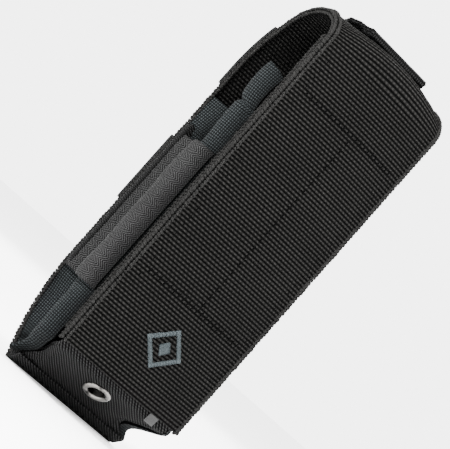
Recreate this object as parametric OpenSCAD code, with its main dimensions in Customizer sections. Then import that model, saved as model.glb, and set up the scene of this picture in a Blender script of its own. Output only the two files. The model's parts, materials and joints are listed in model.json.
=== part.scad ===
// Belt sheath for a folding multi-tool: a webbing pouch with elastic sides, an over-the-top flap,
// rows for load-bearing webbing on its back and a snap-down belt strap.
// X is the width, +Y points to the wearer's side, +Z up. All sizes are in millimetres.

/* [Pouch] */
// Width of the wide webbing that makes the back, the pocket front and the flap
web_w = 50.8; // [48:0.2:56]
// Thickness of the wide webbing
web_t = 1.8; // [1.4:0.1:2]
// Depth from the flap's outer face to the back panel's outer face
depth = 39; // [37:0.5:44]
// Height of the flap's crown above the lowest edge
crown_z = 143.5; // [138:0.5:160]
// Height of the flap's lower edge
lip_z = 16.5; // [14:0.5:19]
// Radius of the back panel's forward curl at the bottom
curl_r = 60; // [56:1:70]
// How far the back panel leans forward near the top, in degrees
lean = 28; // [24:1:30]

/* [Sides] */
// Thickness of the side gusset's cloth
cloth_t = 0.9; // [0.6:0.1:1]
// Thickness of the elastic side bands
elastic_t = 1.2; // [1:0.1:1.3]
// Height at which the elastic bands start
elastic_z0 = 33; // [30:1:38]
// Height at which the elastic bands end
elastic_z1 = 86; // [80:1:92]

/* [Straps] */
// Width of the narrow webbing of the belt strap, the hanging loop and the back rows
strap_w = 25.4; // [24:0.2:26]
// Thickness of the narrow webbing
strap_t = 1.5; // [1.2:0.1:1.6]
// Clear gap behind the belt strap, for a belt
belt_gap = 5.75; // [5:0.25:7]

/* [Hardware] */
// Radius of the drain eyelet's hole
eyelet_r = 2.8; // [2.4:0.1:3]
// Radius of the drain eyelet's flange
eyelet_flange_r = 4.7; // [4.4:0.1:5]
// Radius of the snap's cap
cap_r = 6.25; // [6:0.25:7]

/* [Hidden] */
$fn = 48;

black = [0.09, 0.09, 0.09];
charcoal = [0.14, 0.14, 0.14];
slate = [0.2, 0.22, 0.23];
thread_grey = [0.45, 0.5, 0.53];
nickel = [0.75, 0.73, 0.68];

// ---- layers, from the flap's outer face (y = 0 here) to the back ----
fastener_t = 0.6;
fastener_gap = 0.2;
front_t = 1.6;
front_y = web_t + 2 * fastener_t + fastener_gap;      // outer face of the pocket front
cavity_y = front_y + front_t;                          // where the inside of the pocket starts
back_mid = depth - web_t / 2;                          // middle of the back panel's thickness
row_t = strap_t;
row_face = depth + row_t;                              // outer face of the back rows
strap_mid = row_face + belt_gap + strap_t / 2;         // middle of the bowed strap
emblem_t = 0.4;
y_shift = -(strap_mid + strap_t / 2 - emblem_t) / 2;   // puts the origin under the middle of the box

// ---- profile of the wide webbing, side view, middle of its thickness ----
curl_end = 33;
curl_c = [back_mid - curl_r, (curl_r + web_t / 2) * sin(curl_end)];
crown_mid = crown_z - web_t / 2;
corner_r = 9;                                          // front corner of the crown
rear_r = 20;                                           // rear corner of the crown
lean_r = 36;
hinge_gap = web_t / 2 + 0.3;
front_fold = [web_t / 2, crown_mid - corner_r];
lean_run = 4;                                          // straight stretch between lean and rear fold
rear_fold_z = crown_mid - rear_r * (1 - sin(lean));
lean_z = rear_fold_z - lean_run * cos(lean) - lean_r * sin(lean);
lean_end = [back_mid - lean_r * (1 - cos(lean)), lean_z + lean_r * sin(lean)];
rear_fold = lean_end + lean_run * [-sin(lean), cos(lean)];
apex = [rear_fold[0] - rear_r * cos(lean), crown_mid];

// ---- helpers ----
// points of an arc round c with radius r, from angle a0 to a1
function arc(c, r, a0, a1, n) = [for (i = [0:n]) let (a = a0 + (a1 - a0) * i / n) c + r * [cos(a), sin(a)]];
function unit(v) = v / norm(v);
function left_of(v) = [-v[1], v[0]];
// direction of a path at point i
function heading(p, i) = unit(p[min(i + 1, len(p) - 1)] - p[max(i - 1, 0)]);
// path moved sideways by d, to its left
function beside(p, d) = [for (i = [0:len(p) - 1]) p[i] + d * left_of(heading(p, i))];
function reversed(p) = [for (i = [len(p) - 1:-1:0]) p[i]];

// a ribbon of thickness t along a path
module ribbon(path, t) {
    polygon(concat(beside(path, -t / 2), reversed(beside(path, t / 2))));
}

// a side-view outline pulled across the width, in the part's own frame
module across(w, x = 0) {
    translate([x - w / 2, y_shift, 0]) rotate([90, 0, 90]) linear_extrude(w) children();
}

// moves a shape drawn in layer coordinates into the part's frame
module placed() {
    translate([0, y_shift, 0]) children();
}

// ---- paths ----
curl_path = arc(curl_c, curl_r, -curl_end, 0, 10);
lean_path = arc([back_mid - lean_r, lean_z], lean_r, 0, lean, 8);
// point on the back panel's upper part, where h is the path length above the start of the lean
function on_back(h) =
    h <= 0 ? [back_mid, lean_z + h] :
    let (arc_len = lean_r * lean * PI / 180)
    h < arc_len ? [back_mid - lean_r, lean_z] + lean_r * [cos(h / lean_r * 180 / PI), sin(h / lean_r * 180 / PI)] :
    lean_end + (h - arc_len) * [-sin(lean), cos(lean)];
back_len = lean_r * lean * PI / 180 + lean_run;
rear_corner = [for (i = [0:10]) let (h = lean + (90 - lean) * i / 10)
    rear_fold + rear_r * [cos(h) - cos(lean), sin(h) - sin(lean)]];
gap_angle = hinge_gap / corner_r * 180 / PI;
front_corner = arc(front_fold + [corner_r, 0], corner_r, 90, 180 - gap_angle, 8);

// ---- pouch body ----
module back_panel() {
    top = [for (i = [0:8]) on_back((back_len - hinge_gap) * i / 8)];
    color(black) across(web_w) ribbon(concat(curl_path, top), web_t);
}

front_top = crown_z - 9;
front_bottom = lip_z + 3;
module pocket_front() {
    color(black) placed()
        translate([-web_w / 2, front_y, front_bottom]) cube([web_w, front_t, front_top - front_bottom]);
}

fastener_w = 42;
fastener_z0 = 40;
fastener_z1 = 121;
module fastener(y) {
    placed() translate([-fastener_w / 2, y, fastener_z0])
        cube([fastener_w, fastener_t, fastener_z1 - fastener_z0]);
}
module loop_fastener() { color(charcoal) fastener(front_y - fastener_t); }

// side cloth seen from above: out over a ridge, in to a valley, then straight back
ridge = 1.5;
gusset_x = web_w / 2 - 1;
gusset_back = depth - web_t - 0.1;
gusset_front = cavity_y + 0.25;
function side_wave(t, valley) =
    t < 0.5 ? ridge * sin(360 * t) : -valley * sin(min(90, 360 * (t - 0.5)));
function side_path(x, y0, y1, valley) =
    [for (i = [0:20]) let (t = i / 20) [x + side_wave(t, valley), y0 + (y1 - y0) * t]];
gusset_valley = 4;
band_gap = 0.2;                                        // clear gap between gusset and elastic band
band_steps = 18;
elastic_back = 34.1;

// the space that a gusset may fill, seen from the side
floor_start = [27.5, 1.6];                             // rear end of the bottom panel, middle
floor_end = [6.5, 14.5];                               // its front end, before it turns up
floor_dir = unit(floor_end - floor_start);
floor_up = -left_of(floor_dir);
module gusset_space() {
    lift = cloth_t / 2 + 0.1;
    inner = arc(curl_c, curl_r - web_t / 2 - 0.1, -curl_end + 6, 0, 8);
    polygon(concat(
        [[gusset_front - 0.5, 121], [gusset_front - 0.5, 18], floor_end + lift * floor_up + [-1, 0.5]],
        [floor_start + lift * floor_up + [-1, 0.4]],
        inner,
        [[gusset_back + 0.1, 104], [24, 105], [17, 110]]));
}
module gusset(side) {
    color(slate) intersection() {
        placed() linear_extrude(130) ribbon([for (p = side_path(gusset_x, gusset_front, gusset_back, gusset_valley))
            [side * p[0], p[1]]], cloth_t);
        across(2 * web_w) gusset_space();
    }
}
module left_gusset() { gusset(-1); }
module right_gusset() { gusset(1); }

gusset_path = side_path(gusset_x, gusset_front, gusset_back, gusset_valley);
band_path = beside([for (i = [1:band_steps]) gusset_path[i]], -(cloth_t + elastic_t) / 2 - band_gap);
module elastic_band(side) {
    color(charcoal) placed() translate([0, 0, elastic_z0]) linear_extrude(elastic_z1 - elastic_z0)
        ribbon([for (p = band_path) [side * p[0], p[1]]], elastic_t);
}
module left_elastic_band() { elastic_band(-1); }
module right_elastic_band() { elastic_band(1); }

binding_w = 4.2;
binding_z0 = 33.6;
binding_z1 = 90;
module edge_binding(side) {
    y0 = elastic_back + 0.1;
    x0 = side > 0 ? web_w / 2 + 0.2 - binding_w : -web_w / 2 - 0.2;
    color(charcoal) placed() translate([x0, y0, binding_z0])
        cube([binding_w, depth - web_t - y0, binding_z1 - binding_z0]);
}
module left_edge_binding() { edge_binding(-1); }
module right_edge_binding() { edge_binding(1); }

floor_w = 47;
eyelet_along = 7.2;                                    // eyelet centre, back from the bottom panel's front end
eyelet_c = floor_end - eyelet_along * floor_dir;
// draws its children with +Z along the eyelet's outward axis, centred in the bottom panel's thickness
module at_eyelet() {
    placed() translate([0, eyelet_c[0], eyelet_c[1]])
        rotate([90 + atan2(floor_up[1], floor_up[0]), 0, 0]) children();
}
module bottom_panel() {
    turn_r = 2.2;
    upright_y = cavity_y + 0.15 + cloth_t / 2;
    turn = [for (i = [1:5]) let (f = i / 5)
        floor_end + [(upright_y - floor_end[0]) * f, turn_r * f * f + (1 - f) * f]];
    color(charcoal) difference() {
        across(floor_w) ribbon(concat([floor_start, floor_end], turn, [[upright_y, 24]]), cloth_t);
        at_eyelet() cylinder(r = eyelet_r + 0.45, h = 12, center = true);
    }
}
module bottom_hem() {
    hem_t = 0.9;
    drop = cloth_t / 2 + hem_t / 2;
    start = floor_start - drop * floor_up;
    color(charcoal) across(floor_w) ribbon([start, start + 6 * floor_dir], hem_t);
}

barrel_t = 0.4;
module drain_eyelet() {
    rim = 0.75;                                        // height of the rolled rim
    half = (eyelet_flange_r - eyelet_r) / 2;
    roll = (half * half + rim * rim) / (2 * rim);      // radius of the rim's section
    color(nickel) at_eyelet() rotate_extrude() {
        translate([eyelet_r, -cloth_t / 2 - 0.9]) square([barrel_t, cloth_t + 1.0]);
        intersection() {
            translate([eyelet_r + half, cloth_t / 2 + rim - roll]) circle(r = roll);
            translate([eyelet_r, cloth_t / 2]) square([2 * half, 2 * rim]);
        }
    }
}
module eyelet_washer() {
    color(nickel) at_eyelet() difference() {
        translate([0, 0, -cloth_t / 2 - 0.5]) cylinder(r = eyelet_flange_r, h = 0.5);
        translate([0, 0, -cloth_t]) cylinder(r = eyelet_r + barrel_t, h = 3, center = true);
    }
}

// a back row: narrow webbing along the back panel's outer face between two heights on its path
row_offset = -(web_t + row_t) / 2 - 0.05;
module molle_row(h0, h1) {
    path = [for (i = [0:10]) on_back(h0 + (h1 - h0) * i / 10)];
    color(charcoal) across(web_w) ribbon(beside(path, row_offset), row_t);
}
upper_h1 = back_len - 2.4;
module upper_molle_row() { molle_row(upper_h1 - strap_w, upper_h1); }
lower_row_z = 58.5;
module lower_molle_row() { molle_row(lower_row_z - lean_z, lower_row_z + strap_w - lean_z); }

// ---- belt strap ----
strap_offset = -(web_t / 2 + row_t + strap_t / 2 + 0.1);
strap_hinge_h = upper_h1 - 11;
strap_hinge = on_back(strap_hinge_h) + (0.37 - strap_offset) * unit([1, 0.25]);
strap_gap = strap_t / 2 + 0.3;
module strap_anchor() {
    path = [for (i = [0:6]) on_back(strap_hinge_h + strap_gap + 0.3 + (upper_h1 - 1.6 - strap_hinge_h - strap_gap - 0.3) * i / 6)];
    color(charcoal) across(strap_w) ribbon(beside(path, strap_offset), strap_t);
}

snap_z = 38.5;
stud_base_t = 0.8;
socket_t = 2;
snap_mid = depth + stud_base_t + 0.15 + socket_t + strap_t / 2;   // strap's middle where the snap sits
strap_end_z = 20;
// smooth step between two values
function ease(a, b, t) = a + (b - a) * t * t * (3 - 2 * t);
bow_top_z = 104;
bow_low_z = 54;
strap_path = concat(
    [for (i = [0:7]) let (t = i / 8) [ease(strap_hinge[0], strap_mid, t), strap_hinge[1] + (bow_top_z - strap_hinge[1]) * t]],
    [[strap_mid, bow_top_z], [strap_mid, bow_low_z]],
    [for (i = [1:6]) let (t = i / 6) [ease(strap_mid, snap_mid, t), bow_low_z + (snap_z + 6 - bow_low_z) * t]],
    [[snap_mid, snap_z - 7]],
    [for (i = [1:4]) let (t = i / 4) [ease(snap_mid, snap_mid + 1.2, t), snap_z - 7 + (strap_end_z - snap_z + 7) * t]]);
module belt_strap() {
    color(charcoal) difference() {
        across(strap_w) {
            ribbon(strap_path, strap_t);
            translate(strap_hinge) circle(r = strap_t / 2 - 0.04);
        }
        placed() translate([0, snap_mid, snap_z]) rotate([90, 0, 0]) cylinder(r = 2, h = 8, center = true);
    }
}

// draws its children with +Z pointing out of the back, on the snap's axis at layer depth y
module at_snap(y) {
    placed() translate([0, y, snap_z]) rotate([-90, 0, 0]) children();
}
module snap_cap() {
    dome = 1.5;
    color(nickel) at_snap(snap_mid + strap_t / 2) {
        rotate_extrude() intersection() {
            translate([0, dome - 13.8]) circle(r = 13.8, $fn = 160);
            square([cap_r, dome]);
        }
        translate([0, 0, -strap_t]) cylinder(r = 1.9, h = strap_t + 0.1);
    }
}
module snap_socket() {
    color(nickel) at_snap(snap_mid - strap_t / 2 - socket_t) difference() {
        rotate_extrude() polygon([[0, 0.5], [0, socket_t], [5.2, socket_t], [5.2, 0.6], [4.4, 0], [0, 0]]);
        translate([0, 0, -0.1]) cylinder(r = 2.25, h = socket_t - 0.2);
    }
}
module snap_stud() {
    color(nickel) at_snap(depth) rotate_extrude()
        polygon([[0, 0], [4.8, 0], [4.8, 0.4], [4.3, stud_base_t], [2, stud_base_t], [2, 2.1], [1.6, 2.5], [0, 2.5]]);
}
module stud_rivet() {
    color(nickel) at_snap(depth - web_t - 0.5) {
        rotate_extrude() polygon([[0, 0], [4.2, 0], [4.8, 0.5], [0, 0.5]]);
    }
}

// ---- flap ----
module flap_crown() {
    color(black) across(web_w) {
        ribbon(concat(rear_corner, front_corner), web_t);
        translate(rear_fold) circle(r = web_t / 2 - 0.04);
    }
}
module flap_front() {
    color(black) across(web_w) {
        translate([0, lip_z]) square([web_t, front_fold[1] - lip_z]);
        translate(front_fold) circle(r = web_t / 2 - 0.04);
    }
}
module hook_fastener() { color(charcoal) fastener(web_t); }

// hanging loop over the crown: folded front foot, free span, rear foot
loop_t = 1.3;
loop_front = 9.6;
loop_top = crown_z + 3.4;
loop_path = concat(
    [[loop_front, crown_z + 1.5 * loop_t], [14.5, crown_z + 1.5 * loop_t]],
    [for (i = [1:4]) let (t = i / 4) [14.5 + 6 * t, ease(crown_z + 1.5 * loop_t, loop_top - loop_t / 2, t)]],
    arc([25.5, loop_top - loop_t / 2 - 6], 6, 84, 0, 8),
    [[31.4, 137.2]]);
module hanging_loop() {
    color(charcoal) across(strap_w) {
        ribbon(loop_path, loop_t);
        translate([loop_front, crown_z + 0.05]) square([4.9, loop_t]);
        translate([loop_front, crown_z + loop_t + 0.05]) circle(r = loop_t - 0.12);
    }
}

label_w = 5;
module side_label() {
    label_t = 0.5;
    color([0.5, 0.5, 0.5]) placed() translate([14.5, front_y - label_t - 0.02, lip_z - 4.5])
        cube([label_w, label_t, 9.5]);
}

// ---- stitching and embroidery ----
stitch_len = 2.4;
stitch_pitch = 3.2;
stitch_w = 0.5;
stitch_h = 0.25;
// one row of stitches on a face looking to -Y or +Y (out = -1 or 1); dir is "x" or "z"
module stitch_row(n, at, dir, out) {
    for (i = [0:n - 1]) let (s = (i - (n - 1) / 2) * stitch_pitch)
        placed() translate(at + (dir == "x" ? [s, 0, 0] : [0, 0, s]))
            translate([dir == "x" ? -stitch_len / 2 : -stitch_w / 2, out < 0 ? -stitch_h : 0,
                dir == "x" ? -stitch_w / 2 : -stitch_len / 2])
            cube([dir == "x" ? stitch_len : stitch_w, stitch_h, dir == "x" ? stitch_w : stitch_len]);
}
seam_low = 48.5;
seam_high = 117;
module flap_stitching() {
    color(black) {
        for (z = [seam_low, seam_high]) stitch_row(13, [0, 0, z], "x", -1);
        stitch_row(21, [0, 0, (seam_low + seam_high) / 2], "z", -1);
    }
}
module loop_stitching() {
    color(black) for (i = [0:6])
        placed() translate([(i - 3) * stitch_pitch - stitch_len / 2, 11.6, crown_z + 2 * loop_t + 0.02])
            cube([stitch_len, stitch_w, stitch_h]);
}
module pouch_stitching() {
    z_mid = lower_row_z + strap_w / 2;
    color(black) for (x = [-23.4, 23.4]) stitch_row(7, [x, row_face + 0.06, z_mid], "z", 1);
}
module strap_stitching() {
    color(black) for (z = [45.6, 49.2]) let (t = (bow_low_z - z) / (bow_low_z - snap_z - 6))
        for (x = [-8, -4, 0, 4, 8])
            placed() translate([x - stitch_len / 2, ease(strap_mid, snap_mid, t) + strap_t / 2 + 0.55, z])
                cube([stitch_len, stitch_h, stitch_w]);
}

emblem_z = 33.5;
emblem_r = 7.4;
module flap_emblem() {
    color(thread_grey) placed() translate([0, 0, emblem_z]) rotate([90, 0, 0]) linear_extrude(emblem_t) {
        difference() {
            circle(r = emblem_r, $fn = 4);
            circle(r = emblem_r - 1.5, $fn = 4);
        }
        circle(r = 2.6, $fn = 4);
    }
}

back_panel();
pocket_front();
loop_fastener();
left_gusset();
right_gusset();
left_elastic_band();
right_elastic_band();
left_edge_binding();
right_edge_binding();
bottom_panel();
bottom_hem();
drain_eyelet();
eyelet_washer();
upper_molle_row();
lower_molle_row();
strap_anchor();
snap_stud();
stud_rivet();
side_label();
pouch_stitching();
flap_crown();
hanging_loop();
loop_stitching();
flap_front();
hook_fastener();
flap_stitching();
flap_emblem();
belt_strap();
snap_cap();
snap_socket();
strap_stitching();
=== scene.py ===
import json
import math
import bpy
import numpy as np
from mathutils import Matrix, Vector


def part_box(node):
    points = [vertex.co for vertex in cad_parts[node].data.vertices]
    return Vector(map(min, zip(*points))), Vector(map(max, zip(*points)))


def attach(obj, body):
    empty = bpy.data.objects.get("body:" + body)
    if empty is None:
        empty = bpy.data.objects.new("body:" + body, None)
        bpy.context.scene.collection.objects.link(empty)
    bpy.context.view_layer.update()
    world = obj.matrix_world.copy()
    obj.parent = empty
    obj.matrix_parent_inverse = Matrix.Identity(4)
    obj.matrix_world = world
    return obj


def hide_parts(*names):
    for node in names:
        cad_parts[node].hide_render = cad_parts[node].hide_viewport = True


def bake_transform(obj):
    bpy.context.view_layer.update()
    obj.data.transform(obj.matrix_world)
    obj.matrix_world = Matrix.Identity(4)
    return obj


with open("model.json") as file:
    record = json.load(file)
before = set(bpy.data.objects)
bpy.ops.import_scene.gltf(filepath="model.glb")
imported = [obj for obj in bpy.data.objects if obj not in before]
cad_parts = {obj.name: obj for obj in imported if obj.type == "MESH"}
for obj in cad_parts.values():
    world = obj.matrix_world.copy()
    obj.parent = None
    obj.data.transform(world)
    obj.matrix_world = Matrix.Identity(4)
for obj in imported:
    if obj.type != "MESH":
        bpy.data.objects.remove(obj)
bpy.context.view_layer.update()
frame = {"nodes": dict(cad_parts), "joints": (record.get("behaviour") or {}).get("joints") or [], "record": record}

# Belt sheath for a folding multi-tool: webbing, gussets, elastic, metalwork and stitching over the CAD frame.
# Lengths are in millimetres everywhere before add_mesh(), which turns them into metres.
# Side-view points and paths are (y, z) pairs; x runs across the width.

# ---- driving sizes ----
MM = 0.001
RIB = 1.2              # pitch of the webbing's ribs
BOW = 5.2              # how far the front's edges lie behind its middle
BOW_OUT = 2.0          # how far the middle stands in front of the flat CAD face
LOOP_T = 1.3           # thickness of the hanging loop
STRAP_T = 1.5          # thickness of the belt strap and the back rows
LEAN = 28.0            # forward lean of the back below the crown, in degrees
LEAN_R = 36.0          # radius of the bend into the lean
LEAN_RUN = 4.0         # straight length between that bend and the rear fold
CURL = 33.0            # forward curl of the back at the bottom, in degrees
CURL_R = 60.0          # radius of the curl
STEP = 0.4             # spacing of mesh rows along plain cloth
rng = np.random.default_rng(7)


def lo(node):
    return np.array(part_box(node)[0]) / MM


def hi(node):
    return np.array(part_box(node)[1]) / MM


# ---- places read from the frame ----
HALF_W = hi("flap_front")[0]
FRONT_Y = lo("flap_front")[1]
WEB_T = hi("flap_front")[1] - FRONT_Y
LIP_Z = lo("flap_front")[2]
CROWN_Z = hi("flap_crown")[2]
BACK_Y = hi("back_panel")[1]
POCKET_Y = lo("pocket_front")[1]
POCKET_T = hi("pocket_front")[1] - POCKET_Y
STRAP_HALF = hi("belt_strap")[0]
MID = WEB_T / 2
BACK_MID = BACK_Y - MID
TOP_MID = CROWN_Z - MID
joints = {j["name"]: j for j in frame["joints"]}
REAR_FOLD = np.array(joints["crown_lift"]["pos_m"])[1:] / MM
FRONT_FOLD = np.array(joints["flap_lift"]["pos_m"])[1:] / MM
STRAP_FOLD = np.array(joints["strap_swing"]["pos_m"])[1:] / MM
LEAN_SIN, LEAN_COS = math.sin(math.radians(LEAN)), math.cos(math.radians(LEAN))
CORNER_R = TOP_MID - FRONT_FOLD[1]
REAR_R = (TOP_MID - REAR_FOLD[1]) / (1 - LEAN_SIN)
APEX_Y = REAR_FOLD[0] - REAR_R * LEAN_COS
LEAN_Z = REAR_FOLD[1] - LEAN_RUN * LEAN_COS - LEAN_R * LEAN_SIN
CURL_Z = (CURL_R + MID) * math.sin(math.radians(CURL))
PANEL_REAR = np.array([FRONT_Y + 27.5, 1.6])       # where the bottom panel leaves the back webbing
PANEL_FRONT = np.array([FRONT_Y + 6.5, 14.5])      # where it turns up inside the pocket's front
PANEL_HALF = 22.9                                  # half width of the bottom panel
SIDE_FRONT = POCKET_Y + POCKET_T + 3.4             # front edge of the side cloths
BAND_LOW, BAND_HIGH = lo("left_elastic_band")[2], hi("left_elastic_band")[2]


# ---- node trees ----
class Nodes:
    """Short forms for building a node tree."""

    def __init__(self, name):
        self.mat = bpy.data.materials.new(name)
        self.mat.use_nodes = True
        self.nt = self.mat.node_tree
        self.bsdf = self.nt.nodes["Principled BSDF"]

    def put(self, socket, value):
        if isinstance(value, bpy.types.NodeSocket):
            self.nt.links.new(value, socket)
        else:
            socket.default_value = value

    def math(self, op, a, b=0.0):
        n = self.nt.nodes.new("ShaderNodeMath")
        n.operation = op
        self.put(n.inputs[0], a)
        self.put(n.inputs[1], b)
        return n.outputs[0]

    def mix(self, fac, a, b):
        n = self.nt.nodes.new("ShaderNodeMix")
        n.data_type = "RGBA"
        self.put(n.inputs[0], fac)
        self.put(n.inputs[6], a)
        self.put(n.inputs[7], b)
        return n.outputs[2]

    def noise(self, scale, vector, detail):
        n = self.nt.nodes.new("ShaderNodeTexNoise")
        self.put(n.inputs["Scale"], scale)
        self.put(n.inputs["Detail"], detail)
        self.put(n.inputs["Vector"], vector)
        return n.outputs["Fac"]

    def uv(self):
        """The cloth's own coordinates in millimetres: across, then along."""
        n = self.nt.nodes.new("ShaderNodeUVMap")
        n.uv_map = "mm"
        s = self.nt.nodes.new("ShaderNodeSeparateXYZ")
        self.put(s.inputs[0], n.outputs[0])
        return s.outputs[0], s.outputs[1]

    def place(self):
        return self.nt.nodes.new("ShaderNodeTexCoord").outputs["Object"]

    def ramp(self, fac, low, high):
        """0 where fac is low, 1 where it is high."""
        n = self.nt.nodes.new("ShaderNodeMapRange")
        self.put(n.inputs[0], fac)
        n.inputs[1].default_value = low
        n.inputs[2].default_value = high
        return n.outputs[0]

    def wave(self, x, pitch):
        return self.math("SINE", self.math("MULTIPLY", x, 2 * math.pi / pitch))

    def bump(self, height, distance, strength=1.0):
        n = self.nt.nodes.new("ShaderNodeBump")
        n.inputs["Strength"].default_value = strength
        n.inputs["Distance"].default_value = distance
        self.put(n.inputs["Height"], height)
        self.put(self.bsdf.inputs["Normal"], n.outputs[0])


# ---- weaves: height 0 to 1 from cloth coordinates u, v and the pitches pu, pv ----
def rib_weave(n, u, v, pu, pv):
    """Dashes along each rib, offset on every other rib."""
    row = n.math("FLOOR", n.math("DIVIDE", v, pv))
    odd = n.math("MULTIPLY", n.math("MODULO", n.math("ABSOLUTE", row), 2.0), math.pi)
    dash = n.math("SINE", n.math("ADD", n.math("MULTIPLY", u, 2 * math.pi / pu), odd))
    rib = n.math("ABSOLUTE", n.math("SINE", n.math("MULTIPLY", v, math.pi / pv)))
    return n.math("MULTIPLY", n.ramp(dash, -3.2, 0.9), n.ramp(rib, 0.38, 0.95))


def plain_weave(n, u, v, pu, pv):
    """Over one, under one, with a finer diagonal thread."""
    crossing = n.math("ABSOLUTE", n.math("MULTIPLY", n.wave(u, pu), n.wave(v, pv)))
    fine = n.math("ABSOLUTE", n.wave(n.math("ADD", u, v), pu * 0.7))
    return n.math("ADD", n.math("MULTIPLY", crossing, 0.8), n.math("MULTIPLY", fine, 0.2))


def diagonal(n, u, v, pu, pv, cut_by, cut_pitch, cut_low):
    """Slanting ridges, cut into threads along one direction."""
    slant = n.math("ADD", n.math("DIVIDE", u, pu), n.math("DIVIDE", v, pv))
    thread = n.math("ABSOLUTE", n.wave(cut_by, cut_pitch))
    return n.math("MULTIPLY", n.ramp(n.wave(slant, 1.0), -1.0, 0.7), n.ramp(thread, cut_low, 1.0))


def twill_weave(n, u, v, pu, pv):
    return diagonal(n, u, v, pu, pv, v, pv * 1.3, -0.6)


def herringbone_weave(n, u, v, pu, pv):
    zigzag_span = 1.7
    return diagonal(n, u, n.math("PINGPONG", v, zigzag_span), pu, pv, u, pu * 0.8, -0.7)


# ---- materials ----
def cloth(name, dark, light, weave, pu, pv, bump_mm, roll=0.0):
    """Woven cloth. roll is the arc length from valley to valley of a cloth that lies in soft rolls; where roll is
    given, the colour is darkened towards each valley and the front edge as painted shade and left light on the
    crests.
    """
    n = Nodes(name)
    u, v = n.uv()
    where = n.place()
    height = weave(n, u, v, pu, pv)
    worn = n.noise(70.0, where, 3.0)        # patches over a centimetre across
    fuzz = n.noise(2600.0, where, 2.0)      # single fibres
    tone = n.math("MULTIPLY", n.math("POWER", height, 1.5), n.math("ADD", n.math("MULTIPLY", fuzz, 1.2), 0.4))
    tone = n.math("MULTIPLY", tone, n.ramp(worn, -1.4, 0.7))
    # Painted shade: the colour darkens towards each valley of the rolls and is lightest on their crests.
    if roll:
        painted_roll_shade = n.math("ABSOLUTE", n.math("SINE", n.math("MULTIPLY", u, math.pi / roll)))
        tone = n.math("MULTIPLY", tone, n.ramp(painted_roll_shade, -0.25, 0.8))
    n.put(n.bsdf.inputs["Base Color"], n.mix(tone, (*dark, 1), (*light, 1)))
    n.put(n.bsdf.inputs["Roughness"], n.math("ADD", n.math("MULTIPLY", fuzz, 0.25), 0.7))
    n.bsdf.inputs["Specular IOR Level"].default_value = 0.015
    n.bsdf.inputs["Sheen Weight"].default_value = 0.003
    n.bsdf.inputs["Sheen Roughness"].default_value = 0.5
    n.bump(n.math("ADD", height, n.math("MULTIPLY", fuzz, 0.4)), bump_mm * MM)
    return n.mat


def metal(name, colour, worn):
    """Polished metal, clouded with a second colour and a rougher finish in spots."""
    n = Nodes(name)
    spots = n.ramp(n.noise(330.0, n.place(), 3.0), 0.4, 0.6)
    n.put(n.bsdf.inputs["Base Color"], n.mix(spots, (*colour, 1), (*worn, 1)))
    n.bsdf.inputs["Metallic"].default_value = 1.0
    n.put(n.bsdf.inputs["Roughness"], n.math("ADD", n.math("MULTIPLY", spots, 0.25), 0.1))
    n.bump(spots, 0.02 * MM, 0.6)
    return n.mat


def grey(value, tint=(1.0, 1.0, 1.0)):
    return tuple(value * t for t in tint)


WARM, COOL = (1.03, 1.0, 0.95), (0.87, 1.0, 1.04)
WEBBING = cloth("webbing", grey(0.0), grey(0.0112, WARM), rib_weave, 1.45, RIB, 0.5)
FINE_WEB = cloth("fine_webbing", grey(0.0), grey(0.014), plain_weave, 1.7, 1.6, 0.4)
# The gusset and the elastic carry painted shade across their rolls (roll=19.0).
GUSSET = cloth("gusset_cloth", grey(0.0), grey(0.031, COOL), plain_weave, 1.7, 1.6, 0.7, roll=19.0)
ELASTIC = cloth("elastic", grey(0.0004), grey(0.034), herringbone_weave, 0.8, 0.8, 0.25, roll=19.0)
TWILL = cloth("twill", grey(0.0), grey(0.0205), twill_weave, 1.2, 1.2, 0.35)
BINDING = cloth("binding", grey(0.0), grey(0.0125), twill_weave, 1.0, 1.0, 0.3)
SELVEDGE = cloth("selvedge", grey(0.002), grey(0.022, (1.02, 1.0, 0.96)), twill_weave, 0.3, 0.3, 0.05)
THREAD = cloth("thread", grey(0.0001), grey(0.0006), twill_weave, 0.3, 0.3, 0.05)
EMBROIDERY = cloth("embroidery", (0.014, 0.0175, 0.019), (0.055, 0.064, 0.0675), twill_weave, 0.3, 0.3, 0.05)
LABEL = cloth("label_cloth", grey(0.03), grey(0.07), plain_weave, 0.7, 0.7, 0.08)
HOOKS = cloth("hook_and_loop", grey(0.0), grey(0.006), plain_weave, 1.1, 1.1, 0.5)
NICKEL = metal("nickel", (0.006, 0.0058, 0.0055), (0.14, 0.135, 0.127))
SNAP_METAL = metal("snap_nickel", (0.075, 0.072, 0.068), (0.11, 0.106, 0.1))


# ---- mesh builders: points, faces and one cloth coordinate pair per point ----
def add_mesh(name, points, faces, uv, material, body=None):
    """A smooth piece in the scene, from millimetres, riding on a body where one is named."""
    me = bpy.data.meshes.new(name)
    me.from_pydata((np.asarray(points) * MM).tolist(), [], faces)
    me.update()
    layer = me.uv_layers.new(name="mm")
    idx = np.empty(len(me.loops), np.int32)
    me.loops.foreach_get("vertex_index", idx)
    layer.data.foreach_set("uv", np.asarray(uv, np.float32)[idx].ravel())
    me.polygons.foreach_set("use_smooth", [True] * len(me.polygons))
    me.materials.append(material)
    piece = bpy.data.objects.new(name, me)
    bpy.context.scene.collection.objects.link(piece)
    if body:
        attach(piece, body)
    return piece


def stands_for(piece, slot, *nodes):
    """Hide the CAD nodes that a piece replaces; the piece and the slot name are not used."""
    if nodes:
        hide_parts(*nodes)


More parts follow.
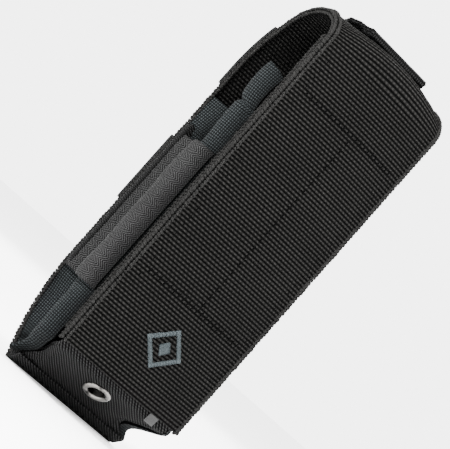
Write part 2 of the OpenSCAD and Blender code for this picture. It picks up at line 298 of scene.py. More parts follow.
def shell(outer, inner, u, v, hole=None):
    """A cloth with two skins and closed edges, from two grids of points."""
    n, m = outer.shape[:2]
    pts = np.concatenate([outer.reshape(-1, 3), inner.reshape(-1, 3)])
    uv = np.concatenate([np.stack([u, v], -1).reshape(-1, 2)] * 2)
    k = n * m
    faces = []
    for i in range(n - 1):
        for j in range(m - 1):
            if hole is not None and hole[i, j]:
                continue
            a = i * m + j
            faces.append((a, a + 1, a + m + 1, a + m))
            faces.append((k + a, k + a + m, k + a + m + 1, k + a + 1))
    for i in range(n - 1):
        for a, b in (((i + 1) * m, i * m), (i * m + m - 1, (i + 1) * m + m - 1)):
            faces.append((a, b, k + b, k + a))
    for j in range(m - 1):
        faces.append((j, j + 1, k + j + 1, k + j)[::-1])
        a = (n - 1) * m + j
        faces.append((a, a + 1, k + a + 1, k + a))
    return pts, faces, uv


def ball(segs=8, rings=5):
    """A coarse unit sphere."""
    pts, faces = [(0, 0, 1)], []
    for r in range(1, rings):
        for s in range(segs):
            a, b = math.pi * r / rings, 2 * math.pi * s / segs
            pts.append((math.sin(a) * math.cos(b), math.sin(a) * math.sin(b), math.cos(a)))
    pts.append((0, 0, -1))
    for s in range(segs):
        t = (s + 1) % segs
        faces.append((0, 1 + s, 1 + t))
        for r in range(rings - 2):
            a = 1 + r * segs
            faces.append((a + s, a + segs + s, a + segs + t, a + t))
        a = 1 + (rings - 2) * segs
        faces.append((a + s, len(pts) - 1, a + t))
    return np.array(pts, float), faces


BALL_POINTS, BALL_FACES = ball()


def beads(items):
    """Many ellipsoids, each given as its centre and three half-axis vectors."""
    pts, faces, uv = [], [], []
    for i, (centre, a, b, c) in enumerate(items):
        p = centre + BALL_POINTS[:, :1] * a + BALL_POINTS[:, 1:2] * b + BALL_POINTS[:, 2:] * c
        first = i * len(BALL_POINTS)
        pts.append(p)
        faces.extend([tuple(first + q for q in face) for face in BALL_FACES])
        uv.append(np.stack([p[:, 0] + p[:, 1], p[:, 2]], -1))
    return np.concatenate(pts), faces, np.concatenate(uv)


def joined(*parts):
    """Several meshes as one."""
    pts, faces, uv, first = [], [], [], 0
    for p, f, t in parts:
        pts.append(p)
        faces.extend([tuple(first + q for q in face) for face in f])
        uv.append(t)
        first += len(p)
    return np.concatenate(pts), faces, np.concatenate(uv)


def revolve(name, profile, origin, axis, material, body, segs=72):
    """A turned piece: profile is (radius, height) pairs along the axis from the origin."""
    w = Vector(axis).normalized()
    a = w.orthogonal().normalized()
    b = w.cross(a)
    w, a, b = np.array(w), np.array(a), np.array(b)
    pts, faces, uv = [], [], []
    m = len(profile)
    for s in range(segs):
        turn = 2 * math.pi * s / segs
        d = a * math.cos(turn) + b * math.sin(turn)
        for i, (r, h) in enumerate(profile):
            pts.append(np.array(origin) + d * r + w * h)
            uv.append((turn * 3, i * 0.3))
    for s in range(segs):
        t = (s + 1) % segs
        for i in range(m - 1):
            faces.append((s * m + i, t * m + i, t * m + i + 1, s * m + i + 1))
    return add_mesh(name, pts, faces, uv, material, body)


# ---- curves ----
def ease(a, b, x):
    """0 before a, 1 after b, smooth between."""
    t = np.clip((np.asarray(x, float) - a) / (b - a), 0, 1)
    return t * t * (3 - 2 * t)


def eased(a, b, k):
    """From a to b, smoothly, as k goes from 0 to 1."""
    return a + (b - a) * k * k * (3 - 2 * k)


def unit(v):
    return v / np.linalg.norm(v)


def arc(c, r, a0, a1, n=40):
    """Points round a centre, from angle a0 to a1 in degrees."""
    a = np.radians(np.linspace(a0, a1, n))
    return [(c[0] + r * math.cos(t), c[1] + r * math.sin(t)) for t in a]


def spline(ctrl, n):
    """A smooth curve through points, evenly spaced in its own parameter."""
    c = np.array(ctrl, float)
    c = np.vstack([2 * c[0] - c[1], c, 2 * c[-1] - c[-2]])
    out = []
    for t in np.linspace(0, len(ctrl) - 1, n):
        i = min(int(t), len(ctrl) - 2)
        f = t - i
        p0, p1, p2, p3 = c[i:i + 4]
        out.append(0.5 * (2 * p1 + (p2 - p0) * f + (2 * p0 - 5 * p1 + 4 * p2 - p3) * f * f
                          + (3 * p1 - p0 - 3 * p2 + p3) * f ** 3))
    return np.array(out)


def sample(path, step):
    """Lengths, even points and normals (to the left when walked) along a side-view path."""
    p = np.array(path, float)
    keep = np.r_[True, np.linalg.norm(np.diff(p, axis=0), axis=1) > 1e-6]
    p = p[keep]
    s = np.r_[0, np.cumsum(np.linalg.norm(np.diff(p, axis=0), axis=1))]
    n = max(2, int(round(s[-1] / step)) + 1)
    t = np.linspace(0, s[-1], n)
    q = np.stack([np.interp(t, s, p[:, 0]), np.interp(t, s, p[:, 1])], 1)
    d = np.gradient(q, axis=0)
    for _ in range(3):
        d[1:-1] = (d[:-2] + d[1:-1] + d[2:]) / 3
    d /= np.linalg.norm(d, axis=1)[:, None]
    return t, q, np.stack([-d[:, 1], d[:, 0]], 1)


def swept(x, q, nrm):
    """Points of a path swept across the width, and normals to multiply by an offset."""
    base = np.stack([x, q[:, :1] + 0 * x, q[:, 1:] + 0 * x], -1)
    return base, np.stack([0 * nrm[:, 0], nrm[:, 0], nrm[:, 1]], -1)[:, None, :]


# ---- webbing ----
# Rows of selvedge loops: inset from the edge, level as a share of the thickness, tilt, slant.
EDGE_ROWS = ((0.55, -0.42, 0.55, 0.0), (0.45, 0.3, -0.55, 0.0), (1.45, 0.55, 0.0, 0.6))
THIN_ROWS = ((0.45, -0.2, 0.5, 0.0), (0.45, 0.25, -0.5, 0.0))
LOOP_HALF = (0.88, 0.45, 0.6)      # half axes of one loop: along, across, through


def selvedge(t, q, nrm, half, thick, bow, rows, size):
    """Knitted loops down both edges of a webbing, as rows of leaning ellipsoids."""
    loops = []
    for side in (-1, 1):
        for r, (inset, level, tilt, slant) in enumerate(rows):
            for i in range(int(t[-1] / RIB) + 1):
                s = min((i + 0.5 * (r % 2)) * RIB, t[-1])
                k = min(int(round(s / t[-1] * (len(t) - 1))), len(t) - 1)
                x = side * (half[k] - inset)
                out = bow(q[k:k + 1], np.array([[x]]))[0, 0] + level * thick
                normal = np.array([0, nrm[k, 0], nrm[k, 1]])
                tangent = np.array([0, nrm[k, 1], -nrm[k, 0]])
                along = unit(tangent + normal * tilt + np.array([side * slant, 0, 0]))
                across = unit(np.cross(along, (1.0, 0, 0) if tilt else normal))
                j = size * (1 + 0.1 * rng.standard_normal())
                axes = [v * h * j for v, h in zip((along, across, np.cross(along, across)), LOOP_HALF)]
                loops.append((np.array([x, q[k, 0], q[k, 1]]) + normal * out, *axes))
    return beads(loops)


def web(path, half, thick, ribs, bow, cols=20, step=RIB / 5, edge=0.75, rough=0.05, rows=EDGE_ROWS, size=1.0):
    """Skin and selvedge of a webbing: half(q) is its half width, ribs(q) their height, bow(q, x) its shift."""
    t, q, nrm = sample(path, step)
    x = (half(q) - edge)[:, None] * np.linspace(-1, 1, cols)[None, :]
    rib = ribs(q)[:, None] * (np.abs(np.cos(math.pi * t[:, None] / RIB)) ** 0.8 - 0.6)
    middle = bow(q, x) + rough * np.sin(x * 0.9 + t[:, None] * 0.21) * np.sin(t[:, None] * 0.13 + 1)
    base, normal = swept(x, q, nrm)
    outer = base + normal * (middle + thick / 2 + rib)[..., None]
    inner = base + normal * (middle - thick / 2 - rib)[..., None]
    skin = shell(outer, inner, x, t[:, None] + RIB / 2 + 0 * x)
    return skin, selvedge(t, q, nrm, half(q), thick, bow, rows, size)


def wide_web(name, nodes, rides, skin, loops):
    """The two pieces of a wide webbing. rides is a body's name; anything else, such as the arguments of a blend,
    is not used and leaves the pieces fixed where they are built.
    """
    pieces = [add_mesh(name + "_webbing", *skin, WEBBING), add_mesh(name + "_selvedge", *loops, SELVEDGE)]
    stands_for(pieces[0], "wide_webbing", *nodes)
    stands_for(pieces[1], "wide_webbing")
    for piece in pieces:
        if isinstance(rides, str):
            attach(piece, rides)
        else:
            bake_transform(piece)


def bend_point(fold, dy, dz):
    """A point near a fold line, in metres."""
    return (0, (fold[0] + dy) * MM, (fold[1] + dz) * MM)


flap_path = ([(FRONT_Y + MID, LIP_Z), (FRONT_Y + MID, FRONT_FOLD[1])]
             + arc((FRONT_Y + MID + CORNER_R, FRONT_FOLD[1]), CORNER_R, 180, 90) + [(APEX_Y, TOP_MID)])
back_path = (arc((BACK_MID - CURL_R, CURL_Z), CURL_R, -CURL, 0)
             + arc((BACK_MID - LEAN_R, LEAN_Z), LEAN_R, 0, LEAN)
             + arc((APEX_Y, TOP_MID - REAR_R), REAR_R, LEAN, 90))[::-1]


def front_bow(q, x):
    """Outward shift of the front: out in the middle, back at the edges, fading over the crown."""
    y = q[:, 0][:, None]
    out = 1 - ease(FRONT_Y + 1.5, APEX_Y - 3, y)
    edge = 1 - 0.72 * ease(FRONT_Y + 2, APEX_Y, y)
    return BOW_OUT * out - BOW * edge * (x / HALF_W) ** 2


def rear_bow(q, x):
    """The crown's bow, fading down the back."""
    y, z = q[:, 0][:, None], q[:, 1][:, None]
    edge = 0.28 * (1 - ease(APEX_Y, REAR_FOLD[0] + 1, y)) * ease(REAR_FOLD[1] - 8, REAR_FOLD[1], z)
    return -BOW * edge * (x / HALF_W) ** 2


def pocket_bow(q, x):
    return BOW_OUT - 0.4 - (BOW_OUT + 4.0) * (x / HALF_W) ** 2 + 0 * q[:, :1]


def no_bow(q, x):
    return 0 * x


def lower_taper(z):
    """How much the sheath narrows on each side towards the bottom."""
    return 2.4 * np.clip(1 - z / 36, 0, 1) ** 1.5


def front_ribs(q):
    return 0.36 * (1 - 0.6 * ease(FRONT_Y + 2, FRONT_Y + 10, q[:, 0]))


def back_ribs(q):
    return np.full(len(q), 0.2)


wide_web("flap", ["flap_front", "flap_crown"],
         ("flap", "crown", bend_point(FRONT_FOLD, 0, -7), bend_point(FRONT_FOLD, 0, 0.5)),
         *web(flap_path, lambda q: np.full(len(q), HALF_W), WEB_T, front_ribs, front_bow, cols=34))
wide_web("back", ["back_panel"],
         ("pouch", "crown", bend_point(REAR_FOLD, 0, -5), bend_point(REAR_FOLD, -3, 5)),
         *web(back_path, lambda q: HALF_W - lower_taper(q[:, 1]), WEB_T, back_ribs, rear_bow, size=0.9))
pocket_mid = POCKET_Y + POCKET_T / 2
pocket_path = [(pocket_mid, lo("pocket_front")[2]), (pocket_mid, hi("pocket_front")[2])]
wide_web("pocket", ["pocket_front"], "pouch",
         *web(pocket_path, lambda q: np.full(len(q), HALF_W - 0.7), POCKET_T, back_ribs, pocket_bow,
              rows=THIN_ROWS, size=0.8))


# ---- hook and loop patches between flap and pocket ----
def patch(name, node, body):
    """A patch that follows the flap's bow, with uneven pile on both faces."""
    a, b = lo(node), hi(node)
    rows, cols = 60, 30
    z = np.linspace(a[2], b[2], rows)[:, None] + np.zeros((1, cols))
    x = np.linspace(a[0], b[0], cols)[None, :] + np.zeros((rows, 1))
    y = (a[1] + b[1]) / 2 - front_bow(np.stack([np.full(rows, FRONT_Y), z[:, 0]], 1), x) * 0.97
    half = (b[1] - a[1]) / 2 * 0.9 + 0.08 * rng.standard_normal(x.shape)
    skins = np.stack([x, y - half, z], -1), np.stack([x, y + half, z], -1)
    stands_for(add_mesh(name, *shell(*skins, x, z), HOOKS, body), "hook_and_loop", node)


patch("hook_patch", "hook_fastener", "flap")
patch("loop_patch", "loop_fastener", "pouch")

# ---- sides ----
# Plan sections as (distance from the middle, share of the depth): a roll in front, a valley, a flat rear.
gusset_profile = spline([(24.2, 0), (26.2, 0.13), (26.8, 0.28), (25.3, 0.42), (20.6, 0.56), (19.0, 0.70),
                         (21.6, 0.86), (24.4, 1)], 60)
band_profile = spline([(25.2, 0), (28.1, 0.13), (28.9, 0.28), (27.2, 0.42), (22.7, 0.57), (21.0, 0.70),
                       (23.6, 0.86), (25.2, 1)], 60)
INSET = {-1: 2.6, 1: 8.0}      # how far the gussets pull in beside the bottom panel, left and right


def back_inner(z):
    """Inner face of the back webbing at a height."""
    curl = np.sqrt(np.maximum((CURL_R - MID) ** 2 - np.clip(CURL_Z - z, 0, None) ** 2, 0))
    bend = np.sqrt(np.maximum((LEAN_R - MID) ** 2 - np.clip(z - LEAN_Z, 0, None) ** 2, 0))
    return np.minimum(np.minimum(BACK_MID - CURL_R + curl, BACK_MID - LEAN_R + bend), BACK_MID - MID)


def gusset_top(share):
    """Upper edge of a gusset: a rounded lobe in front, a low shoulder behind."""
    lobe = 2.2 * np.sin(math.pi * np.clip(share / 0.5, 0, 1)) ** 0.6
    return 116.0 - 15.0 * ease(0.42, 0.66, share) + lobe


def gusset_folds(z, down, share, side):
    """Outward shift of a gusset: tucked in at the bottom, rolled where bare, creased near the top."""
    run = np.clip((z - PANEL_REAR[1]) / (PANEL_FRONT[1] - PANEL_REAR[1]), 0, 1)
    tuck = INSET[side] * np.sin(math.pi * run) ** 2 * (1 - ease(0, 0.6, share))
    bare = ease(BAND_HIGH, BAND_HIGH + 7, z) + ease(BAND_LOW, BAND_LOW - 7, z)
    rolls = 1.3 * np.exp(-((share - 0.19) / 0.12) ** 2) - 3.4 * np.exp(-((share - 0.49) / 0.13) ** 2)
    swell = 0.8 * np.clip(1 - (down - 6.5) ** 2 / 42, 0, 1)
    crease = 1.3 * np.exp(-(down - 14) ** 2)
    return bare * rolls - tuck + (swell - crease) * (0.3 + 0.7 * (share < 0.5))


def side_cloth(profile, side, z0, z1, thick, dz, top=None, edge_roll=0.0):
    """A side cloth from pocket to back. A gusset has a top line; a band's ends turn in by edge_roll."""
    n = int((z1 - z0) / dz) + 1
    reach, share = profile[:, 0][None, :], profile[:, 1][None, :]
    z_top = (top(share) if top else z1) + 0 * reach
    z = z0 + (z_top - z0) * np.linspace(0, 1, n)[:, None]
    front = np.full_like(z, SIDE_FRONT)
    back = back_inner(z) - 0.3
    if top:
        slope = (PANEL_REAR[0] - PANEL_FRONT[0]) / (PANEL_FRONT[1] - PANEL_REAR[1])
        panel_y = PANEL_REAR[0] - (z - PANEL_REAR[1]) * slope
        front = np.maximum(front, np.minimum(panel_y, back - 1) + 1.0)
    y = front + (back - front) * share
    squeeze = np.clip((back - front) / 24.0, 0.15, 1)
    x = reach[0, 0] + (reach - reach[0, 0]) * squeeze - lower_taper(z) * ease(0, 1, share)
    x = x + 0.35 * np.sin(z * 0.23 + 9 * share) * np.sin(z * 0.071 + 2) * np.sin(math.pi * share)
    if top:
        x = x + gusset_folds(z, z_top - z, share, side)
    if edge_roll:
        x = x - edge_roll * np.exp(-np.minimum(z - z0, z1 - z) / 0.7)
    p = np.stack([x, y, z], -1)
    nrm = np.cross(np.gradient(p, axis=1), np.gradient(p, axis=0))
    nrm /= np.linalg.norm(nrm, axis=2)[..., None] + 1e-9
    if nrm[n // 2, 8, 0] < 0:
        nrm = -nrm
    u = np.cumsum(np.linalg.norm(np.diff(p, axis=1, prepend=p[:, :1]), axis=2), axis=1)
    skins = [p + nrm * thick / 2, p - nrm * thick / 2]
    for skin in skins:
        skin[..., 0] *= side
    return shell(*skins[::-side], u, z)


def edge_binding(name, node):
    """A folded tape: a rounded box section, softened at both ends."""
    a, b = lo(node), hi(node)
    c = (a + b) / 2
    z = np.linspace(a[2], b[2], 130)[:, None]
    turn = np.linspace(0, 2 * math.pi, 25)[None, :]
    squared = [np.sign(w) * np.abs(w) ** 0.5 for w in (np.cos(turn), np.sin(turn))]
    grow = 1 - 0.5 * np.exp(-np.minimum(z - a[2], b[2] - z) / 0.8) + 0.03 * np.sin(z * 1.9)
    x, y = [c[i] + (b[i] - a[i]) / 2 * squared[i] * grow for i in (0, 1)]
    ring = np.stack([x, y, z + 0 * x], -1)
    n, m = ring.shape[:2]
    faces = [(i * m + j, i * m + j + 1, (i + 1) * m + j + 1, (i + 1) * m + j)
             for i in range(n - 1) for j in range(m - 1)]
    faces += [tuple(range(m - 1))[::-1], tuple((n - 1) * m + j for j in range(m - 1))]
    uv = np.stack([turn * 2 + 0 * x, z + 0 * x], -1).reshape(-1, 2)
    stands_for(add_mesh(name, ring.reshape(-1, 3), faces, uv, BINDING, "pouch"), "binding", node)


for word, side in (("left", -1), ("right", 1)):
    gusset = side_cloth(gusset_profile, side, 3.5, 118, 1.0, 0.8, top=gusset_top)
    stands_for(add_mesh(word + "_gusset_cloth", *gusset, GUSSET, "pouch"), "gusset_cloth", word + "_gusset")
    band = side_cloth(band_profile, side, BAND_LOW, BAND_HIGH, 1.3, 0.35, edge_roll=0.45)
    stands_for(add_mesh(word + "_elastic", *band, ELASTIC, "pouch"), "elastic", word + "_elastic_band")
    edge_binding(word + "_binding", word + "_edge_binding")

# ---- bottom panel, hem and eyelet ----
eyelet_mount = [m for m in frame["record"]["mounts"] if m["name"] == "drain_eyelet_bore"][0]
EYE = np.array(eyelet_mount["pos_m"]) / MM
EYE_AXIS = np.array(eyelet_mount["axis"])
HOLE_R = eyelet_mount["dims"]["r_mm"]
FLANGE_R = hi("drain_eyelet")[0]


def bottom_cloth():
    """The panel from the back webbing's lower edge up inside the pocket's front, with a hole for the eyelet."""
    up_y = POCKET_Y + POCKET_T + 0.6
    turn = [(PANEL_FRONT[0] + (up_y - PANEL_FRONT[0]) * f, PANEL_FRONT[1] + 2.2 * f * f + (1 - f) * f)
            for f in (0.25, 0.5, 0.75, 1)]
    path = [tuple(PANEL_REAR), tuple(PANEL_FRONT)] + turn + [(up_y, hi("bottom_panel")[2])]
    t, q, nrm = sample(path, STEP)
    t = t[:, None]
    f = np.linspace(-1, 1, 110)[None, :]
    half = PANEL_HALF - 2.6 * np.sin(math.pi * np.clip((t - 1) / 22, 0, 1)) ** 2
    right_half = half - 4.2 * np.sin(math.pi * np.clip((t - 1) / 24, 0, 1)) ** 2
    x = np.where(f > 0, right_half, half) * f
    raised = 1.6 * np.abs(f) ** 8 * np.sin(math.pi * np.clip(t / 24, 0, 1))
    wavy = 0.12 * np.sin(x * 0.5 + 1) * np.sin(t * 0.4)
    hem = 0.5 * (np.abs(f) > 0.86)
    base, normal = swept(x, q, nrm)
    outer = base + normal * (0.5 + hem * 0.5 + wavy - raised)[..., None]
    inner = base + normal * (-0.5 - hem * 0.3 + wavy - raised)[..., None]
    from_axis = np.linalg.norm(np.cross(base - EYE, EYE_AXIS), axis=2)
    hole = (from_axis < HOLE_R + 0.9) & (t < 24)
    return shell(outer, inner, x, t + 0 * x, hole)


def hem_tape():
    """A rounded tape along the panel's rear edge."""
    start = PANEL_REAR + np.array([-0.4, -0.9])
    t, q, nrm = sample([tuple(start), tuple(start + (PANEL_FRONT - PANEL_REAR) * 0.25)], STEP)
    x = np.linspace(0.1 - PANEL_HALF, PANEL_HALF - 0.1, 90)[None, :] + 0 * t[:, None]
    share = (t / t[-1] * 2 - 1)[:, None]
    roll = 0.45 * np.sqrt(np.clip(1 - share ** 6, 0, 1)) + 0.06 * np.sin(x * 3)
    base, normal = swept(x, q, nrm)
    return shell(base + normal * roll[..., None], base - normal * roll[..., None], x, t[:, None] + 0 * x)


def eyelet():
    """The rim with its barrel, and the ring that clamps it from inside."""
    mid_r, half_r = (HOLE_R + FLANGE_R) / 2, (FLANGE_R - HOLE_R) / 2
    barrel_r = HOLE_R + 0.45
    rim = [(HOLE_R, -1.3), (HOLE_R, 0.4)]
    rim += [(mid_r - half_r * math.cos(a), 0.5 + 0.8 * math.sin(a)) for a in np.linspace(0, math.pi, 16)]
    rim += [(FLANGE_R, 0.45), (barrel_r, 0.45), (barrel_r, -1.3), (HOLE_R, -1.3)]
    stands_for(revolve("eyelet_rim", rim, EYE, EYE_AXIS, NICKEL, "pouch"), "nickel", "drain_eyelet")
    bore = HOLE_R + 0.5
    ring = [(bore, -0.5), (FLANGE_R - 0.1, -0.5), (FLANGE_R, -0.7), (FLANGE_R - 0.2, -0.95),
            (bore, -0.95), (bore, -0.5)]
    stands_for(revolve("eyelet_inner_ring", ring, EYE, EYE_AXIS, NICKEL, "pouch"), "nickel", "eyelet_washer")


stands_for(add_mesh("bottom_cloth", *bottom_cloth(), TWILL, "pouch"), "twill", "bottom_panel")
stands_for(add_mesh("bottom_hem_tape", *hem_tape(), TWILL, "pouch"), "twill", "bottom_hem")
eyelet()


# ---- back rows: webbing running across the width ----
def back_row(name, node):
    """A row that lies on the back webbing and follows its bend into the lean."""
    a, b = lo(node), hi(node)
    curve = [p for p in back_path if LEAN_Z < p[1] <= b[2] + 0.1]
    upper = curve + [(BACK_MID, LEAN_Z)] if curve else [(BACK_MID, b[2])]
    t, q, nrm = sample(upper + [(BACK_MID, a[2])], STEP)
    t = t[:, None]
    x = np.linspace(-HALF_W, HALF_W, 80)[None, :] + 0 * t
    lift = 0.15 * np.cos(2 * math.pi * x / HALF_W)
    rounded = 0.3 * np.exp(-np.minimum(t, t[-1] - t) / 0.5)
    base, normal = swept(x, q, nrm)
    outer = base + normal * (MID + STRAP_T + lift - rounded)[..., None]
    inner = base + normal * (MID + 0.12)
    row = add_mesh(name, *shell(outer, inner, t + 0 * x, x), FINE_WEB, "pouch")
    stands_for(row, "narrow_webbing", node)


back_row("upper_row_webbing", "upper_molle_row")
back_row("lower_row_webbing", "lower_molle_row")


# ---- narrow webbing: hanging loop and belt strap ----
def strap_half(q):
    return np.full(len(q), STRAP_HALF)


def faint_ribs(q):
    return np.full(len(q), 0.03)


def narrow_web(name, path, thick, body, *nodes):
    """One piece, skin and selvedge together."""
    skin, loops = web(path, strap_half, thick, faint_ribs, no_bow, cols=26, step=STEP, edge=0.5,
                      rough=0.03, rows=THIN_ROWS, size=0.75)
    piece = add_mesh(name, *joined(skin, loops), FINE_WEB, body)
    stands_for(piece, "narrow_webbing", *nodes)
    return piece


LOOP_FRONT = lo("hanging_loop")[1] + LOOP_T
FOOT_Z = CROWN_Z + 0.25
loop_low, loop_high = FOOT_Z + 1.5 * LOOP_T, hi("hanging_loop")[2] - LOOP_T / 2
loop_path = [(LOOP_FRONT, loop_low), (LOOP_FRONT + 5, loop_low)]
loop_path += [(LOOP_FRONT + 5 + 6 * k, eased(loop_low, loop_high, k)) for k in np.linspace(0.1, 1, 10)]
loop_path += arc((FRONT_Y + 25.5, loop_high - 6), 6, 84, 0) + [(FRONT_Y + 31.4, 137.2)]
narrow_web("loop_webbing", loop_path, LOOP_T, "crown", "hanging_loop")
foot_path = [(LOOP_FRONT + 5.4, FOOT_Z + LOOP_T / 2), (LOOP_FRONT, FOOT_Z + LOOP_T / 2)]
foot_path += arc((LOOP_FRONT, FOOT_Z + LOOP_T), LOOP_T / 2, 270, 90)
narrow_web("loop_foot", foot_path, LOOP_T, "crown")

SNAP_Y = lo("snap_cap")[1] + STRAP_T / 2
SNAP_Z = (lo("snap_cap")[2] + hi("snap_cap")[2]) / 2
SNAP_FLAT = 7.0                       # flat length above and below the snap
STRAP_Y = hi("belt_strap")[1] - STRAP_T / 2
STRAP_END_Z = lo("belt_strap")[2]
BULGE_TOP, BULGE_LOW = 104.0, 54.0    # heights between which the strap stands straight off the back
anchor = hi("strap_anchor")
strap_path = [(anchor[1] - 3.2, anchor[2] - 0.5), (STRAP_FOLD[0] - 0.6, STRAP_FOLD[1] + 2.5)]
strap_path += [(eased(STRAP_FOLD[0], STRAP_Y, k), STRAP_FOLD[1] + (BULGE_TOP - STRAP_FOLD[1]) * k)
               for k in np.linspace(0, 1, 12)]
strap_path += [(eased(STRAP_Y, SNAP_Y, k), BULGE_LOW + (SNAP_Z + 6 - BULGE_LOW) * k)
               for k in np.linspace(0, 1, 12)]
strap_path += [(SNAP_Y, SNAP_Z - SNAP_FLAT)]
strap_path += [(eased(SNAP_Y, SNAP_Y + 1.2, k), SNAP_Z - SNAP_FLAT + (STRAP_END_Z - SNAP_Z + SNAP_FLAT) * k)
               for k in (0.25, 0.5, 0.75, 1)]
strap = narrow_web("strap_webbing", strap_path, STRAP_T, None, "belt_strap", "strap_anchor")
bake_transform(strap)

cap_r = hi("snap_cap")[0]
dome = [(0.001, 1.6)]
dome += [(cap_r * math.sin(a), 0.35 + 1.25 * math.cos(a)) for a in np.linspace(0.1, math.pi / 2, 14)]
dome += [(cap_r, 0), (cap_r - 0.3, -0.1), (0.001, -0.1)]
dome_place = (0, SNAP_Y + STRAP_T / 2 + 0.05, SNAP_Z)
stands_for(revolve("snap_dome", dome, dome_place, (0, 1, 0), SNAP_METAL, "strap"), "nickel", "snap_cap")
for node in ("snap_socket", "snap_stud", "stud_rivet"):
    slots = frame["nodes"][node].data.materials
    slots.clear()
    slots.append(SNAP_METAL)


# ---- stitching ----
def stitches(name, rows, body, node, half_len=1.15, half_w=0.3, half_h=0.28, material=THREAD, slot="thread"):
    """Threads as ellipsoids. rows is a list of (points, direction along the thread, outward normal)."""
    items = []
    for points, along, normal in rows:
        along, normal = np.array(along, float), np.array(normal, float)
        across = np.cross(along, normal)
        for p in points:
            j = 1 + 0.08 * rng.standard_normal()
            items.append((np.array(p, float), along * half_len * j, across * half_w, normal * half_h))
    stands_for(add_mesh(name, *beads(items), material, body), slot, node)


def front_face(x):
    """The flap's outer face at a distance from the middle."""
    return FRONT_Y - (BOW_OUT - BOW * (x / HALF_W) ** 2) - 0.06


def face_normal(x):
    return unit(np.array([-2 * BOW * x / HALF_W ** 2, -1.0, 0.0]))


UP, OUT_FRONT, OUT_BACK, ACROSS = (0, 0, 1), (0, -1, 0), (0, 1, 0), (1, 0, 0)
SEAM_LOW, SEAM_HIGH = lo("flap_stitching")[2], hi("flap_stitching")[2]
EDGE_SEAM_X = 20.6
rows = []
for z in (SEAM_LOW, SEAM_HIGH):
    for x in np.arange(-19.2, 19.3, 1.9):
        rows.append(([(x, front_face(x), z)], np.array((0.2, 0, 1)) / 1.02, face_normal(x)))
zs = np.arange(SEAM_LOW + 2.5, SEAM_HIGH - 1, 3.2)
rows.append(([(0, front_face(0), z) for z in zs], UP, OUT_FRONT))
for x in (-EDGE_SEAM_X, EDGE_SEAM_X):
    zs = np.arange(LIP_Z + 3, FRONT_FOLD[1] - 4, 3.2)
    rows.append(([(x, front_face(x) + 0.18, z) for z in zs], UP, face_normal(x)))
stitches("flap_seams", rows, "flap", "flap_stitching")

seam_points = [(x, LOOP_FRONT + 1.6, FOOT_Z + 2 * LOOP_T + 0.02) for x in np.arange(-10.5, 10.6, 1.75)]
stitches("loop_seam", [(seam_points, ACROSS, UP)], "crown", "loop_stitching", half_len=0.65, half_w=0.45)

zs = np.arange(lo("pouch_stitching")[2], hi("pouch_stitching")[2] + 2, 1.2)
rows = [([(x, BACK_Y + STRAP_T + 0.1, z) for z in zs], UP, OUT_BACK) for x in (-23.4, -22.6, 22.6, 23.4)]
hem_points = [(x, PANEL_REAR[0] - 4.0, PANEL_REAR[1] - 0.55) for x in np.arange(-21, 21.1, 2.6)]
rows.append((hem_points, ACROSS, tuple(EYE_AXIS)))
stitches("pouch_seams", rows, "pouch", "pouch_stitching", half_len=0.8)

strap_seam_z = (lo("strap_stitching")[2] + hi("strap_stitching")[2]) / 2 + 5
seam_points = [(x, STRAP_Y + STRAP_T / 2 - 0.1, strap_seam_z) for x in np.arange(-10, 10.1, 2.5)]
stitches("strap_seam", [(seam_points, ACROSS, OUT_BACK)], "strap", "strap_stitching")

# ---- emblem: a satin-stitched open diamond with a small one inside ----
EMBLEM_Z = (lo("flap_emblem")[2] + hi("flap_emblem")[2]) / 2
EMBLEM_R = hi("flap_emblem")[0]
HEART_R = 2.6          # half diagonal of the inner diamond
THREAD_PITCH = 0.27    # spacing of the satin threads


def on_flap(x, dz):
    """A point of the emblem, just proud of the flap's face."""
    return (x, front_face(x) - 0.12, EMBLEM_Z + dz)


rows = []
corners = [np.array(c, float) * EMBLEM_R for c in ((1, 0), (0, 1), (-1, 0), (0, -1))]
for a, b in zip(corners, corners[1:] + corners[:1]):
    inward = -unit(a + b)
    for d in np.arange(0.25, np.linalg.norm(b - a) - 0.2, THREAD_PITCH):
        c = a + unit(b - a) * d + inward * 0.75
        rows.append(([on_flap(*c)], np.array([inward[0], 0, inward[1]]), face_normal(c[0])))
stitches("emblem_ring", rows, "flap", "flap_emblem", half_len=0.82, half_w=0.17,
         half_h=0.3, material=EMBROIDERY, slot="emblem_thread")
threads = []
for d in np.arange(-2.4, 2.41, THREAD_PITCH):
    thread_half = HEART_R - abs(d) + 0.1
    threads.append((np.array(on_flap(0.0, d)), np.array([-thread_half, 0, 0]),
                    np.array([0, 0, 0.17]), np.array([0, -0.3, 0])))
stands_for(add_mesh("emblem_heart", *beads(threads), EMBROIDERY, "flap"), "emblem_thread")


# ---- label tab: blank, hanging below the flap's edge ----
def label_tab():
    a, b = lo("side_label"), hi("side_label")
    x = np.linspace(a[0], a[0] + 3.4, 30)[None, :] + np.zeros((30, 1))
    z = np.linspace(a[2] + 1.2, b[2], 30)[:, None] + 0 * x
    y = (a[1] + b[1]) / 2 + 1.6 + 0.5 * ((x - a[0]) / 9) ** 2 + 0.9 * ease(b[2] - 4, a[2], z)
    return shell(np.stack([x, y - 0.2, z], -1), np.stack([x, y + 0.2, z], -1), x, z)


stands_for(add_mesh("label_tab", *label_tab(), LABEL, "pouch"), "label_cloth", "side_label")


# ---- floor, world, lights ----
def studio_floor(half_size):
    n = Nodes("studio")
    tone = n.noise(3.0, n.place(), 2.0)
    n.put(n.bsdf.inputs["Base Color"], n.mix(tone, (*grey(0.93), 1), (*grey(0.97), 1)))
    n.bsdf.inputs["Roughness"].default_value = 0.9
    n.bsdf.inputs["Emission Color"].default_value = (1, 1, 1, 1)
    n.bsdf.inputs["Emission Strength"].default_value = 0.5
    bpy.ops.mesh.primitive_plane_add(size=2 * half_size, location=(0, 0, 0))
    floor = bpy.context.object
    floor.name = "studio_floor"
    floor.data.materials.append(n.mat)


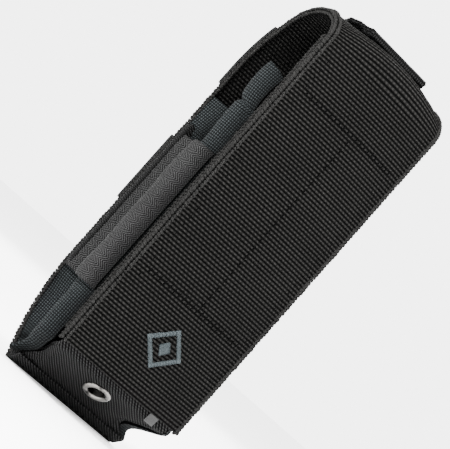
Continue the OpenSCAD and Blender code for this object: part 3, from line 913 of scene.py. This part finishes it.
def studio_world(dim, bright):
    """White light from all round, dimmer from the front (-Y) so that the area lights shape the cloth."""
    world = bpy.data.worlds.new("studio_world")
    bpy.context.scene.world = world
    world.use_nodes = True
    tree = world.node_tree
    direction = tree.nodes.new("ShaderNodeSeparateXYZ")
    tree.links.new(tree.nodes.new("ShaderNodeTexCoord").outputs["Generated"], direction.inputs[0])
    strength = tree.nodes.new("ShaderNodeMapRange")
    tree.links.new(direction.outputs[1], strength.inputs[0])
    for socket, value in zip(strength.inputs[1:5], (-0.6, 0.3, dim, bright)):
        socket.default_value = value
    tree.links.new(strength.outputs[0], tree.nodes["Background"].inputs[1])
    tree.nodes["Background"].inputs[0].default_value = (1, 1, 1, 1)


def area_light(name, place, size, power):
    """A square light aimed at the middle of the sheath."""
    light = bpy.data.lights.new(name, "AREA")
    light.size = size
    light.energy = power
    lamp = bpy.data.objects.new(name, light)
    bpy.context.scene.collection.objects.link(lamp)
    lamp.location = place
    lamp.rotation_euler = (Vector((0, 0, 0.07)) - Vector(place)).to_track_quat("-Z", "Y").to_euler()


studio_floor(6.0)
studio_world(2.2, 5.2)
area_light("key", (-0.75, -0.35, 0.75), 0.25, 52.0)
area_light("front", (0.3, -0.7, 0.65), 0.3, 30.0)
area_light("rear", (0.3, 0.9, 0.6), 0.5, 14.0)

# ---- camera: low, to the left of the front, rolled so that the sheath leans across the frame ----
AZIMUTH, ELEVATION, ROLL = math.radians(26.4), math.radians(-2.5), math.radians(41.6)
DISTANCE = 0.709                      # metres
AIM = Vector((0.0005, 0, 0.0738))     # metres
LENS = 185.8                          # millimetres on a 36 mm sensor
cam_data = bpy.data.cameras.new("camera")
cam = bpy.data.objects.new("camera", cam_data)
bpy.context.scene.collection.objects.link(cam)
cam_data.sensor_fit = "HORIZONTAL"
cam_data.sensor_width = 36
cam_data.lens = LENS
cam_data.clip_start = 0.01
toward = Vector((-math.sin(AZIMUTH) * math.cos(ELEVATION), -math.cos(AZIMUTH) * math.cos(ELEVATION),
                 math.sin(ELEVATION)))
cam.location = AIM + toward * DISTANCE
look = (-toward).to_track_quat("-Z", "Y").to_matrix()
cam.rotation_euler = (look @ Matrix.Rotation(ROLL, 3, "Z")).to_euler()
bpy.context.scene.camera = cam
